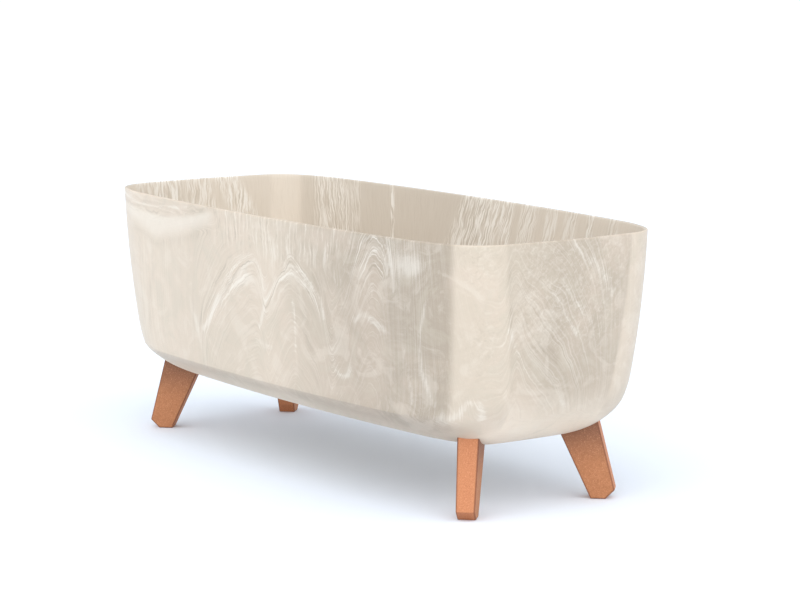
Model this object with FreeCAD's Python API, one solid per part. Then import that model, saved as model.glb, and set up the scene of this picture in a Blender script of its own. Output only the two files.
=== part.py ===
"""Raised planter on legs: a moulded trough on four splayed board legs.

Millimetres, +Z up. The origin is on the floor, midway between the four feet.
+X runs along the trough, +Y across it. The trough is symmetric about both.
"""
import FreeCAD, Part
import math
import os

from FreeCAD import Vector

# ---- trough, outside -------------------------------------------------------
HALF_LENGTH = 300.0        # middle of an end, at the rim
HALF_WIDTH = 127.3         # middle of a long side, at the rim
RIM_HEIGHT = 239.3
UNDERSIDE_HEIGHT = 56.3    # flat middle of the underside
WALL = 3.0
RIM_ROUNDING = 1.1

# the level outline is four tangent arcs in each quarter
SIDE_RADIUS = 2440.0       # long side, almost flat
SHOULDER_RADIUS = 147.6    # where the side turns towards the corner
SHOULDER_TURN = math.radians(19.27)
END_RADIUS = 616.3
CORNER_AT_RIM = 44.5
CORNER_AT_CREASE = 54.5
CORNER_AT_BOTTOM = 15.0

# the draft: how far each wall leans in, as a + b of a parabola in height
END_DRAFT = (3.7, 19.3)
SIDE_DRAFT = (3.0, 8.6)
END_BOTTOM_RADIUS = 65.9   # the end runs smoothly into the underside
CREASE_RISE = 29.9         # the long side has a crease this far above it
SIDE_BOTTOM_RADIUS = 97.4  # and a curved bevel from the crease inwards

# ---- legs ------------------------------------------------------------------
LEG_PLANE = math.radians(46.0)      # each leg's board stands on a diagonal
FOOT_CENTRE = (249.2, 71.8)         # middle of the flat under a foot
FOOT_HALF = 6.5
CHAMFER_TOP = (14.8, 8.3)           # outward, up
LEG_OUTER_AT_67 = (0.0, 67.2)
LEG_INNER_AT_56 = (-32.6, 56.0)
LEG_THICK_AT_FOOT = 16.3
LEG_THICK_AT_80 = 19.6
LEG_ROUNDING = 1.2

# ---- fixings ---------------------------------------------------------------
SCREW_LEAN = math.radians(19.8)     # screws lie along the leg's own middle line
SCREW_PAD = (-18.9, 67.9)           # outward, up: middle of the pad under two screws
SCREW_SPACING = 14.6
BOSS_RADIUS = 8.5
WASHER_RADIUS = 6.5
WASHER_THICK = 1.6
WASHER_BORE = 2.7
SCREW_HEAD_RADIUS = 4.8
SCREW_HEAD_HEIGHT = 3.2
SCREW_RADIUS = 2.5
SCREW_LENGTH = 30.0
HOLE_RADIUS = 2.8
INSERT_RADIUS = 4.0
INSERT_LENGTH = 13.0
HEX_ACROSS_FLATS = 3.0

# ---- drainage --------------------------------------------------------------
DRAIN_X = (-150.0, -50.0, 50.0, 150.0)
DRAIN_RADIUS = 5.0

WALL_LEVELS = 12
BEVEL_LEVELS = 13
UP = Vector(0, 0, 1)


# ---- profile of the trough -------------------------------------------------
def draft(coefficients, z):
    """Inset of a wall at height z, zero at the rim."""
    t = (RIM_HEIGHT - z) / (RIM_HEIGHT - UNDERSIDE_HEIGHT)
    return coefficients[0] * t + coefficients[1] * t * t


def draft_slope(coefficients, z):
    """How fast that inset grows per millimetre of drop."""
    drop = RIM_HEIGHT - UNDERSIDE_HEIGHT
    t = (RIM_HEIGHT - z) / drop
    return (coefficients[0] + 2.0 * coefficients[1] * t) / drop


def end_tangent():
    """Height where the end's draft meets its bottom arc, and its lean there."""
    z = UNDERSIDE_HEIGHT + END_BOTTOM_RADIUS
    for _ in range(20):
        lean = math.atan(draft_slope(END_DRAFT, z))
        z = UNDERSIDE_HEIGHT + END_BOTTOM_RADIUS * (1.0 - math.sin(lean))
    return z, lean


END_TANGENT, END_LEAN = end_tangent()
END_ARC_CENTRE = draft(END_DRAFT, END_TANGENT) + END_BOTTOM_RADIUS * math.cos(END_LEAN)
CREASE_HEIGHT = UNDERSIDE_HEIGHT + CREASE_RISE
CREASE_TURN = math.acos(1.0 - CREASE_RISE / SIDE_BOTTOM_RADIUS)
SIDE_ARC_CENTRE = (draft(SIDE_DRAFT, CREASE_HEIGHT)
                   + SIDE_BOTTOM_RADIUS * math.sin(CREASE_TURN))


def arc_inset(centre, radius, z, wall):
    """Inset of a bottom arc at height z, for the face set in by wall."""
    below = UNDERSIDE_HEIGHT + radius - z
    inner = radius - wall
    return centre - math.sqrt(max(inner * inner - below * below, 0.0))


def end_inset(z, wall=0.0):
    if z >= END_TANGENT + wall * math.sin(END_LEAN):
        return draft(END_DRAFT, z) + wall
    return arc_inset(END_ARC_CENTRE, END_BOTTOM_RADIUS, z, wall)


def side_inset(z, wall=0.0):
    if z >= crease_level(wall):
        return draft(SIDE_DRAFT, z) + wall
    return arc_inset(SIDE_ARC_CENTRE, SIDE_BOTTOM_RADIUS, z, wall)


def crease_level(wall):
    """Height of the crease on the face set in by wall."""
    if wall == 0.0:
        return CREASE_HEIGHT
    low, high = CREASE_HEIGHT - 10.0, CREASE_HEIGHT + 20.0
    for _ in range(50):
        z = 0.5 * (low + high)
        bevel = arc_inset(SIDE_ARC_CENTRE, SIDE_BOTTOM_RADIUS, z, wall)
        if bevel > draft(SIDE_DRAFT, z) + wall:
            low = z
        else:
            high = z
    return z


def corner_radius(z, wall):
    crease = crease_level(wall)
    if z >= crease:
        s = (RIM_HEIGHT - z) / (RIM_HEIGHT - crease)
        return CORNER_AT_RIM + s * (CORNER_AT_CREASE - CORNER_AT_RIM) - wall
    s = (crease - z) / (crease - UNDERSIDE_HEIGHT - wall)
    return CORNER_AT_CREASE + s * (CORNER_AT_BOTTOM - CORNER_AT_CREASE) - wall


# ---- level outline ---------------------------------------------------------
def outline_turns(half_length, half_width, radii):
    """Turns of the side and end arcs that make the quarter reach both."""
    side, shoulder, corner, end = radii
    turn_side, turn_end = math.radians(5.24), math.radians(6.4)
    for _ in range(30):
        a1 = turn_side
        a2 = a1 + SHOULDER_TURN
        a3 = math.pi / 2.0 - turn_end
        x = (side * math.sin(a1) + shoulder * (math.sin(a2) - math.sin(a1))
             + corner * (math.sin(a3) - math.sin(a2)) + end * (1.0 - math.sin(a3)))
        y = (side * (1.0 - math.cos(a1)) + shoulder * (math.cos(a1) - math.cos(a2))
             + corner * (math.cos(a2) - math.cos(a3)) + end * math.cos(a3))
        miss_x, miss_y = x - half_length, y - half_width
        x1 = (side - shoulder) * math.cos(a1) + (shoulder - corner) * math.cos(a2)
        x2 = (end - corner) * math.cos(a3)
        y1 = (side - shoulder) * math.sin(a1) + (shoulder - corner) * math.sin(a2)
        y2 = (end - corner) * math.sin(a3)
        det = x1 * y2 - x2 * y1
        turn_side -= (miss_x * y2 - miss_y * x2) / det
        turn_end -= (miss_y * x1 - miss_x * y1) / det
    return turn_side, turn_end


def quarter_arcs(half_length, half_width, corner, wall):
    """(start, middle, end) of the arcs from (0, half width) to (half length, 0)."""
    radii = (SIDE_RADIUS - wall, SHOULDER_RADIUS - wall, corner, END_RADIUS - wall)
    turn_side, turn_end = outline_turns(half_length, half_width, radii)
    headings = (0.0, turn_side, turn_side + SHOULDER_TURN,
                math.pi / 2.0 - turn_end, math.pi / 2.0)
    x, y = 0.0, half_width
    arcs = []
    for radius, a, b in zip(radii, headings[:-1], headings[1:]):
        points = []
        for h in (a, 0.5 * (a + b), b):
            points.append((x + radius * (math.sin(h) - math.sin(a)),
                           y - radius * (math.cos(a) - math.cos(h))))
        arcs.append(points)
        x, y = points[-1]
    return arcs


def level_wire(z, wall=0.0):
    """Closed outline of the trough at height z, clockwise seen from above."""
    quarter = quarter_arcs(HALF_LENGTH - end_inset(z, wall),
                           HALF_WIDTH - side_inset(z, wall),
                           corner_radius(z, wall), wall)
    edges = []
    for sx, sy, back in ((1, 1, False), (1, -1, True), (-1, -1, False), (-1, 1, True)):
        arcs = [arc[::-1] for arc in reversed(quarter)] if back else quarter
        for arc in arcs:
            points = [Vector(sx * x, sy * y, z) for x, y in arc]
            edges.append(Part.Arc(*points).toShape())
    return Part.Wire(edges)


# ---- trough ----------------------------------------------------------------
def bevel_heights(wall):
    """Levels from the underside to the crease, evenly spread round the arc."""
    radius = END_BOTTOM_RADIUS - wall
    low = UNDERSIDE_HEIGHT + wall
    top = crease_level(wall)
    turn = math.acos(1.0 - (top - low) / radius)
    steps = BEVEL_LEVELS - 1
    heights = [low + radius * (1.0 - math.cos(turn * k / steps)) for k in range(steps)]
    return heights + [top]


def wall_heights(wall, top):
    """Levels from the crease to top, closer together near the crease."""
    low = crease_level(wall)
    steps = WALL_LEVELS - 1
    return [low + (top - low) * (k / steps) ** 1.6 for k in range(WALL_LEVELS)]


def trough_solid(wall, top):
    bevel = Part.makeLoft([level_wire(z, wall) for z in bevel_heights(wall)], True, False)
    sides = Part.makeLoft([level_wire(z, wall) for z in wall_heights(wall, top)], True, False)
    return bevel.fuse(sides)


def rim_edges(shape):
    level = [e for e in shape.Edges if abs(e.BoundBox.ZMin - RIM_HEIGHT) < 0.01]
    return [e for e in level if abs(e.BoundBox.ZMax - RIM_HEIGHT) < 0.01]


def leg_point(sx, sy, outward):
    x = FOOT_CENTRE[0] + outward * math.cos(LEG_PLANE)
    y = FOOT_CENTRE[1] + outward * math.sin(LEG_PLANE)
    return sx * x, sy * y


def corners():
    return (("front_left", -1, -1), ("front_right", 1, -1),
            ("back_left", -1, 1), ("back_right", 1, 1))


def corner_screws(sx, sy):
    """(boss top, upward direction) of the screws into one leg."""
    lean = math.sin(SCREW_LEAN)
    up = Vector(-sx * lean * math.cos(LEG_PLANE), -sy * lean * math.sin(LEG_PLANE),
                math.cos(SCREW_LEAN))
    places = []
    for along in (-SCREW_SPACING / 2.0, SCREW_SPACING / 2.0):
        outward = SCREW_PAD[0] + along * math.cos(SCREW_LEAN)
        height = SCREW_PAD[1] + along * math.sin(SCREW_LEAN)
        places.append((Vector(*leg_point(sx, sy, outward), height), up))
    return places


def all_screws():
    return [place for _, sx, sy in corners() for place in corner_screws(sx, sy)]


def build_trough(outside):
    tub = outside.cut(trough_solid(WALL, RIM_HEIGHT + 2.0))
    tub = tub.makeFillet(RIM_ROUNDING, rim_edges(tub))
    for top, up in all_screws():
        boss = Part.makeCylinder(BOSS_RADIUS, 20.0, top - up * 20.0, up)
        tub = tub.fuse(boss.common(outside))
    for top, up in all_screws():
        tub = tub.cut(Part.makeCylinder(HOLE_RADIUS, 40.0, top - up * 30.0, up))
    for x in DRAIN_X:
        tub = tub.cut(Part.makeCylinder(DRAIN_RADIUS, 20.0, Vector(x, 0, 50.0), UP))
    return tub.removeSplitter()


# ---- legs ------------------------------------------------------------------
def on_line(low, high, z):
    """Outward position at height z on the line through two (outward, up) points."""
    return low[0] + (high[0] - low[0]) * (z - low[1]) / (high[1] - low[1])


def leg_board(top):
    """The board in its own plane: X outward, Z up, Y through the thickness."""
    inner_foot = (-FOOT_HALF, 0.0)
    outline = [inner_foot, (FOOT_HALF, 0.0), CHAMFER_TOP,
               (on_line(CHAMFER_TOP, LEG_OUTER_AT_67, top), top),
               (on_line(inner_foot, LEG_INNER_AT_56, top), top)]
    points = [Vector(x, 0, z) for x, z in outline]
    face = Part.Face(Part.makePolygon(points + points[:1]))
    slab = face.extrude(Vector(0, 40, 0))
    slab.translate(Vector(0, -20, 0))
    return slab.common(thickness_wedge(top))


def thickness_wedge(top):
    """The board thickens towards the top."""
    grow = (LEG_THICK_AT_80 - LEG_THICK_AT_FOOT) / 80.0
    foot = LEG_THICK_AT_FOOT / 2.0
    head = foot + grow * top / 2.0
    points = [Vector(-80, -foot, 0), Vector(-80, foot, 0),
              Vector(-80, head, top), Vector(-80, -head, top)]
    face = Part.Face(Part.makePolygon(points + points[:1]))
    return face.extrude(Vector(160, 0, 0))


def build_leg(sx, sy, outside):
    board = leg_board(95.0)
    board = board.makeFillet(LEG_ROUNDING, board.Edges)
    heading = math.degrees(math.atan2(sy * math.sin(LEG_PLANE), sx * math.cos(LEG_PLANE)))
    board.rotate(Vector(0, 0, 0), UP, heading)
    board.translate(Vector(sx * FOOT_CENTRE[0], sy * FOOT_CENTRE[1], 0))
    leg = board.cut(outside)
    leg = sorted(leg.Solids, key=lambda s: s.CenterOfMass.z)[0]
    for top, up in corner_screws(sx, sy):
        low = hole_bottom(top, up)
        leg = leg.cut(Part.makeCylinder(HOLE_RADIUS, 60.0, low, up))
        leg = leg.cut(Part.makeCylinder(INSERT_RADIUS, INSERT_LENGTH, low, up))
    return leg


def hole_bottom(top, up):
    return top - up * (SCREW_LENGTH + 1.0)


# ---- fixings ---------------------------------------------------------------
def build_screws():
    return Part.makeCompound([one_screw(top, up) for top, up in all_screws()])


def one_screw(top, up):
    """A button-head screw with a hexagon socket, its head on the washer."""
    head = Part.makeCylinder(SCREW_HEAD_RADIUS, SCREW_HEAD_HEIGHT)
    crown = [e for e in head.Edges if e.BoundBox.ZMin > SCREW_HEAD_HEIGHT - 0.01]
    head = head.makeFillet(1.6, crown)
    shank = Part.makeCylinder(SCREW_RADIUS, SCREW_LENGTH + 1.0, Vector(0, 0, -SCREW_LENGTH), UP)
    screw = head.fuse(shank).removeSplitter().cut(hex_socket())
    screw.Placement = FreeCAD.Placement(top + up * WASHER_THICK, FreeCAD.Rotation(UP, up))
    return screw


def hex_socket():
    radius = HEX_ACROSS_FLATS / math.sqrt(3.0)
    turns = [math.radians(60 * k) for k in range(7)]
    points = [Vector(radius * math.cos(t), radius * math.sin(t), SCREW_HEAD_HEIGHT)
              for t in turns]
    return Part.Face(Part.makePolygon(points)).extrude(Vector(0, 0, -2.2))


def build_washers():
    return rings(WASHER_RADIUS, WASHER_BORE, WASHER_THICK, 0.0)


def build_inserts():
    return rings(INSERT_RADIUS, SCREW_RADIUS, INSERT_LENGTH, -SCREW_LENGTH - 1.0)


def rings(outer, bore, length, offset):
    """One ring per screw, starting offset along it from the boss top."""
    solids = []
    for top, up in all_screws():
        low = top + up * offset
        ring = Part.makeCylinder(outer, length, low, up)
        solids.append(ring.cut(Part.makeCylinder(bore, length, low, up)))
    return Part.makeCompound(solids)


def build_all():
    outside = trough_solid(0.0, RIM_HEIGHT)
    nodes = {"trough": build_trough(outside)}
    for name, sx, sy in corners():
        nodes["leg_" + name] = build_leg(sx, sy, outside)
    nodes["leg_screws"] = build_screws()
    nodes["leg_screw_washers"] = build_washers()
    nodes["leg_thread_inserts"] = build_inserts()
    return nodes


def main():
    os.makedirs("parts", exist_ok=True)
    for name, shape in build_all().items():
        shape.exportStep("parts/" + name + ".step")
        box = shape.optimalBoundingBox()
        print(name, "solids", len(shape.Solids), "valid", shape.isValid(),
              "volume", round(shape.Volume), "box",
              [round(v, 2) for v in (box.XMin, box.YMin, box.ZMin, box.XMax, box.YMax, box.ZMax)])


main()
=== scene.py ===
"""Raised planter on legs: a marbled plastic trough on four copper-brown board legs."""

import math

import bpy
import numpy as np
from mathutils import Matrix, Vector


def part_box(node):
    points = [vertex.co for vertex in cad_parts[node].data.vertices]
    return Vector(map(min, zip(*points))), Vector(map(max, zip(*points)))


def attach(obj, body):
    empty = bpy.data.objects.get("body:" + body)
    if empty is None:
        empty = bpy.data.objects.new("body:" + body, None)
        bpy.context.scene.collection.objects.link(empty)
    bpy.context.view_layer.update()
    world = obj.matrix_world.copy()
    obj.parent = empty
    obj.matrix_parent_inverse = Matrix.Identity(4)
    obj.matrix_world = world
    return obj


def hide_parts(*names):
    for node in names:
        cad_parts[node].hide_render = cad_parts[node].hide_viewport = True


MM = 0.001
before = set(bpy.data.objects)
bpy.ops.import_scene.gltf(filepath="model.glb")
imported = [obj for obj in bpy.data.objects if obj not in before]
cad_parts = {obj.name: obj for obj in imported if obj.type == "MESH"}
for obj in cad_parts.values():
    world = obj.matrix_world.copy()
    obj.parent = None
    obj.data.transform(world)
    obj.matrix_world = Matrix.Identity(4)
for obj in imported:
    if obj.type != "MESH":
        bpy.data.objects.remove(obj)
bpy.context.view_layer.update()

# ------------------------------------------------- the trough's driving sizes
TROUGH_LOW, TROUGH_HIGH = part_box("trough")
HALF_LENGTH = TROUGH_HIGH.x
HALF_WIDTH = TROUGH_HIGH.y
RIM = TROUGH_HIGH.z
UNDERSIDE = TROUGH_LOW.z
WALL = 3.0 * MM
RIM_ROUND = 1.1 * MM

SIDE_RADIUS = 2440.0 * MM
SHOULDER_RADIUS = 147.6 * MM
SHOULDER_TURN = math.radians(19.27)
END_RADIUS = 616.3 * MM
CORNER_RIM = 44.5 * MM
CORNER_CREASE = 54.5 * MM
CORNER_BOTTOM = 15.0 * MM
END_DRAFT = (3.7 * MM, 19.3 * MM)
SIDE_DRAFT = (3.0 * MM, 8.6 * MM)
END_BOTTOM = 65.9 * MM
CREASE_RISE = 29.9 * MM
SIDE_BOTTOM = 97.4 * MM

BOSS_RADIUS = 8.5 * MM
BORE_BELOW, BORE_LENGTH = 30.0 * MM, 40.0 * MM
HOLE_RADIUS = 2.8 * MM
DRAIN_RADIUS = 5.0 * MM
DRAIN_PLACES = (-150 * MM, -50 * MM, 50 * MM, 150 * MM)
SCREW_PAD = (-18.9 * MM, 67.9 * MM)     # outwards of the foot's centre, and up
SCREW_SPACING = 14.6 * MM
SCREW_LEAN = math.radians(19.8)
LEG_PLANE = math.radians(46.0)
FOOT_CENTRE = (249.2 * MM, 71.8 * MM)
LEG_THICK_AT_FOOT = 16.3 * MM
LEG_THICK_AT_80 = 19.6 * MM
# a leg's face seen square, (outwards, up): down the inner edge, foot, toe chamfer, outer edge
LEG_EDGES = [(-32.6 * MM, 56.0 * MM), (-6.5 * MM, 0.0), (6.5 * MM, 0.0),
             (14.8 * MM, 8.3 * MM), (0.0, 67.2 * MM)]

# mesh steps along the four arcs of a quarter: side, shoulder, corner, end
ARC_STEPS = (74, 17, 20, 23)
WALL_STEPS = 52
INNER_STEPS = 34
CREASE_GAP = 0.8 * MM       # the crease lies between two rows of the mesh this far from it
SHARP_EDGE = math.radians(32)
RAY_REACH = 50.0 * MM         # a boss finds the inner floor below it within this distance
SAME_PLACE = 0.002 * MM

VIEW_PLACE = (2.10354, -1.46240, 0.53452)
VIEW_TURN, VIEW_DOWN = math.radians(54.56), math.radians(8.51)
VIEW_LENS = 125.39
FLOOR_COLOUR, WORLD_COLOUR = (0.80, 0.85, 0.93, 1.0), (0.90, 0.95, 1.0, 1.0)
WORLD_STRENGTH, OVERHEAD_STRENGTH = 0.95, 2.1


# ------------------------------------------------------------- level outlines
def draft(coefficients, z):
    """How far a wall has leant in at a height, from the rim down."""
    t = (RIM - z) / (RIM - UNDERSIDE)
    return coefficients[0] * t + coefficients[1] * t * t


def draft_lean(coefficients, z):
    """The wall's angle from upright at a height."""
    drop = RIM - UNDERSIDE
    return math.atan((coefficients[0] + 2 * coefficients[1] * (RIM - z) / drop) / drop)


def end_tangent():
    """Height where the end's draft meets its bottom arc, and its lean there."""
    z = UNDERSIDE + END_BOTTOM
    for _ in range(20):
        lean = draft_lean(END_DRAFT, z)
        z = UNDERSIDE + END_BOTTOM * (1 - math.sin(lean))
    return z, lean


END_TANGENT, END_LEAN = end_tangent()
END_CENTRE = draft(END_DRAFT, END_TANGENT) + END_BOTTOM * math.cos(END_LEAN)
CREASE = UNDERSIDE + CREASE_RISE
CREASE_TURN = math.acos(1 - CREASE_RISE / SIDE_BOTTOM)
SIDE_CENTRE = draft(SIDE_DRAFT, CREASE) + SIDE_BOTTOM * math.sin(CREASE_TURN)


def arc_inset(centre, radius, z, wall):
    """Inset of a bottom arc at a height, its centre as far in as centre."""
    below = UNDERSIDE + radius - z
    return centre - math.sqrt(max((radius - wall) ** 2 - below ** 2, 0.0))


def crease_level(wall):
    """Height of the long side's crease, on the face set in by wall."""
    if wall == 0:
        return CREASE
    low, high = CREASE - 10 * MM, CREASE + 20 * MM
    for _ in range(40):
        middle = (low + high) / 2
        gap = (arc_inset(SIDE_CENTRE, SIDE_BOTTOM, middle, wall)
               - draft(SIDE_DRAFT, middle) - wall)
        low, high = (middle, high) if gap > 0 else (low, middle)
    return low


INNER_CREASE = crease_level(WALL)


def end_inset(z, wall):
    """How far the end stands in from the rim's end at a height."""
    if z >= END_TANGENT + wall * math.sin(END_LEAN):
        return draft(END_DRAFT, z) + wall
    return arc_inset(END_CENTRE, END_BOTTOM, z, wall)


def side_inset(z, wall):
    """How far the long side stands in from the rim's side at a height."""
    if z >= (INNER_CREASE if wall else CREASE):
        return draft(SIDE_DRAFT, z) + wall
    return arc_inset(SIDE_CENTRE, SIDE_BOTTOM, z, wall)


def corner_radius(z, wall):
    """The corner grows from the rim to the crease, then tightens to the underside."""
    crease = INNER_CREASE if wall else CREASE
    if z >= crease:
        return CORNER_RIM + (CORNER_CREASE - CORNER_RIM) * (RIM - z) / (RIM - crease) - wall
    part = (crease - z) / (crease - UNDERSIDE - wall)
    return CORNER_CREASE + (CORNER_BOTTOM - CORNER_CREASE) * part - wall


def outline_turns(half_length, half_width, radii):
    """Turns of the side arc and the end arc that make the quarter close, by Newton's steps."""
    side, shoulder, corner, end = radii
    a, e = math.radians(5), math.radians(6)
    for _ in range(30):
        b = a + SHOULDER_TURN
        c = math.pi / 2 - e
        x = (side * math.sin(a) + shoulder * (math.sin(b) - math.sin(a))
             + corner * (math.sin(c) - math.sin(b)) + end * (1 - math.sin(c)))
        y = (side * (1 - math.cos(a)) + shoulder * (math.cos(a) - math.cos(b))
             + corner * (math.cos(b) - math.cos(c)) + end * math.cos(c))
        xa = (side - shoulder) * math.cos(a) + (shoulder - corner) * math.cos(b)
        xe = (end - corner) * math.cos(c)
        ya = (side - shoulder) * math.sin(a) + (shoulder - corner) * math.sin(b)
        ye = (end - corner) * math.sin(c)
        det = xa * ye - xe * ya
        a -= ((x - half_length) * ye - (y - half_width) * xe) / det
        e -= ((y - half_width) * xa - (x - half_length) * ya) / det
    return a, e


LEVEL_VALUES = ("height", "half_width", "radius_0", "radius_1", "radius_2", "radius_3",
                "turn_1", "turn_2", "turn_3", "within")


def level(z, wall, inset=0.0, share=1.0):
    """One row of the level table; share shrinks the outline towards the middle."""
    radii = (SIDE_RADIUS - wall - inset, SHOULDER_RADIUS - wall - inset,
             corner_radius(z, wall) - inset, END_RADIUS - wall - inset)
    half_length = HALF_LENGTH - end_inset(z, wall) - inset
    half_width = HALF_WIDTH - side_inset(z, wall) - inset
    a, e = outline_turns(half_length, half_width, radii)
    turns = (a, a + SHOULDER_TURN, math.pi / 2 - e)
    return ((z, half_width * share) + tuple(r * share for r in radii) + turns
            + (1.0 if wall else 0.0,))


def arc_levels(radius, low, top, step):
    """Heights from low to top, evenly spaced along a bottom arc."""
    turn = math.acos(1 - (top - low) / radius)
    count = max(int(radius * turn / step), 2)
    return [low + radius * (1 - math.cos(turn * k / count)) for k in range(count)]


def level_table():
    """Rows from the middle of the underside, up over the rim, down to the inner floor."""
    top = RIM - RIM_ROUND
    low = UNDERSIDE + WALL
    crown = [math.radians(18 * k) for k in range(1, 6)]
    rows = [level(UNDERSIDE, 0.0, share=s) for s in (0.0, 0.25, 0.5, 0.75)]
    bottom = arc_levels(END_BOTTOM, UNDERSIDE, CREASE - CREASE_GAP, 3.2 * MM)
    rows += [level(z, 0.0) for z in bottom]
    rows += [level(z, 0.0) for z in np.linspace(CREASE + CREASE_GAP, top, WALL_STEPS)]
    rows += [level(top + RIM_ROUND * math.sin(t), 0.0, RIM_ROUND * (1 - math.cos(t)))
             for t in crown]
    rows += [level(top + RIM_ROUND * math.sin(t), WALL, -RIM_ROUND * (1 - math.cos(t)))
             for t in reversed(crown)]
    rows += [level(z, WALL) for z in np.linspace(top, INNER_CREASE + CREASE_GAP, INNER_STEPS)]
    inner = arc_levels(END_BOTTOM - WALL, low, INNER_CREASE - CREASE_GAP, 5 * MM)
    rows += [level(z, WALL) for z in reversed(inner)]
    rows += [level(low, WALL, share=s) for s in (0.75, 0.5, 0.25, 0.0)]
    return rows


def rim_arcs():
    """Lengths of the four arcs of a quarter, round the rim."""
    row = dict(zip(LEVEL_VALUES, level(RIM - RIM_ROUND, 0.0)))
    stops = (0.0, row["turn_1"], row["turn_2"], row["turn_3"], math.pi / 2)
    return [row["radius_%d" % k] * (stops[k + 1] - stops[k]) for k in range(4)]


RIM_ARCS = rim_arcs()
PERIMETER = 4 * sum(RIM_ARCS)


def screw_places():
    """Boss top and upward direction of the two screws into each leg."""
    places = []
    for sx in (-1, 1):
        for sy in (-1, 1):
            out = Vector((sx * math.cos(LEG_PLANE), sy * math.sin(LEG_PLANE), 0))
            foot = Vector((sx * FOOT_CENTRE[0], sy * FOOT_CENTRE[1], 0))
            up = Vector((0, 0, math.cos(SCREW_LEAN))) - out * math.sin(SCREW_LEAN)
            for step in (-SCREW_SPACING / 2, SCREW_SPACING / 2):
                at = foot + out * (SCREW_PAD[0] + step * math.cos(SCREW_LEAN))
                at.z = SCREW_PAD[1] + step * math.sin(SCREW_LEAN)
                places.append((at, up))
    return places


# --------------------------------------------------------------- node writing
class Signal:
    """A node socket that can be used in a Python expression."""

    def __init__(self, tree, socket):
        self.tree = tree
        self.socket = socket

    def math(self, operation, *values):
        return self.tree.apply(operation, *values)

    def __add__(self, other):
        return self.math("ADD", self, other)

    def __sub__(self, other):
        return self.math("SUBTRACT", self, other)

    def __rsub__(self, other):
        return self.math("SUBTRACT", other, self)

    def __mul__(self, other):
        return self.math("MULTIPLY", self, other)

    def __truediv__(self, other):
        return self.math("DIVIDE", self, other)

    def __neg__(self):
        return self.math("MULTIPLY", self, -1.0)

    def __abs__(self):
        return self.math("ABSOLUTE", self)

    def __gt__(self, other):
        return self.math("GREATER_THAN", self, other)

    __radd__ = __add__
    __rmul__ = __mul__

    def floor(self):
        return self.math("FLOOR", self)

    def clamped(self):
        return self.math("MINIMUM", self.math("MAXIMUM", self, 0.0), 1.0)

    def ramp(self, low, high):
        """0 below low, 1 above high, eased between."""
        return self.tree.node("ShaderNodeMapRange", {"interpolation_type": "SMOOTHSTEP"},
                              {"Value": self, "From Min": low, "From Max": high})


class Tree:
    """A node tree and the one way its nodes are added."""

    def __init__(self, tree):
        self.nodes = tree.nodes
        self.links = tree.links

    def node(self, kind, settings=None, inputs=None, output=0):
        made = self.nodes.new(kind)
        for name, value in (settings or {}).items():
            setattr(made, name, value)
        for name, value in (inputs or {}).items():
            self.feed(made.inputs[name], value)
        return Signal(self, made.outputs[output])

    def feed(self, socket, value):
        if isinstance(value, Signal):
            self.links.new(value.socket, socket)
        else:
            socket.default_value = value

    def vector(self, x, y, z):
        return self.node("ShaderNodeCombineXYZ", {}, {0: x, 1: y, 2: z})

    def parts(self, vector):
        return [self.node("ShaderNodeSeparateXYZ", {}, {0: vector}, output=k) for k in range(3)]

    def apply(self, operation, *values):
        """A Math node on sockets and numbers; numbers alone are worked out here."""
        if operation in ("SINE", "COSINE") and not isinstance(values[0], Signal):
            return {"SINE": math.sin, "COSINE": math.cos}[operation](values[0])
        return self.node("ShaderNodeMath", {"operation": operation}, dict(enumerate(values)))

    def sine(self, angle):
        return self.apply("SINE", angle)

    def cosine(self, angle):
        return self.apply("COSINE", angle)

    def minimum(self, a, b):
        return self.apply("MINIMUM", a, b)


class Forming(Tree):
    """A geometry tree with named inputs, run once on a start mesh."""

    SOCKETS = {"float": "NodeSocketFloat", "int": "NodeSocketInt",
               "Object": "NodeSocketObject", "Material": "NodeSocketMaterial"}

    def __init__(self, name, values):
        self.group = bpy.data.node_groups.new(name, "GeometryNodeTree")
        super().__init__(self.group)
        self.values = values
        interface = self.group.interface
        interface.new_socket("Start", in_out="INPUT", socket_type="NodeSocketGeometry")
        self.keys = {}
        for label, value in values.items():
            kind = self.SOCKETS[type(value).__name__]
            socket = interface.new_socket(label, in_out="INPUT", socket_type=kind)
            self.keys[label] = socket.identifier
        interface.new_socket("Formed", in_out="OUTPUT", socket_type="NodeSocketGeometry")
        self.entry = self.nodes.new("NodeGroupInput")

    def given(self, label):
        return Signal(self, self.entry.outputs[label])

    def named(self, name, kind="FLOAT"):
        return self.node("GeometryNodeInputNamedAttribute", {"data_type": kind}, {"Name": name})

    def keep(self, mesh, name, value):
        return self.node("GeometryNodeStoreNamedAttribute",
                         {"data_type": "FLOAT", "domain": "POINT"},
                         {"Geometry": mesh, "Name": name, "Value": value})

    def times(self, vector, scale):
        return self.node("ShaderNodeVectorMath", {"operation": "SCALE"},
                         {0: vector, "Scale": scale})

    def combine(self, operation, mesh, *tools):
        """Mesh boolean of a mesh and the instances that add to it or cut it."""
        made = self.nodes.new("GeometryNodeMeshBoolean")
        made.operation = operation
        made.solver = "MANIFOLD"
        if operation == "DIFFERENCE":
            self.feed(made.inputs["Mesh 1"], mesh)
        else:
            self.feed(made.inputs["Mesh 2"], mesh)
        for tool in tools:
            self.feed(made.inputs["Mesh 2"], tool)
        return Signal(self, made.outputs["Mesh"])

    def deliver(self, formed):
        leave = self.nodes.new("NodeGroupOutput")
        self.feed(leave.inputs["Formed"], formed)

    def run(self, name, start):
        """The plain mesh that the tree makes from a start mesh."""
        thing = bpy.data.objects.new(name, start)
        bpy.context.scene.collection.objects.link(thing)
        modifier = thing.modifiers.new(name, "NODES")
        modifier.node_group = self.group
        for label, value in self.values.items():
            modifier[self.keys[label]] = value
        view = bpy.context.evaluated_depsgraph_get()
        made = bpy.data.meshes.new_from_object(thing.evaluated_get(view))
        bpy.data.objects.remove(thing)
        return made


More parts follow.
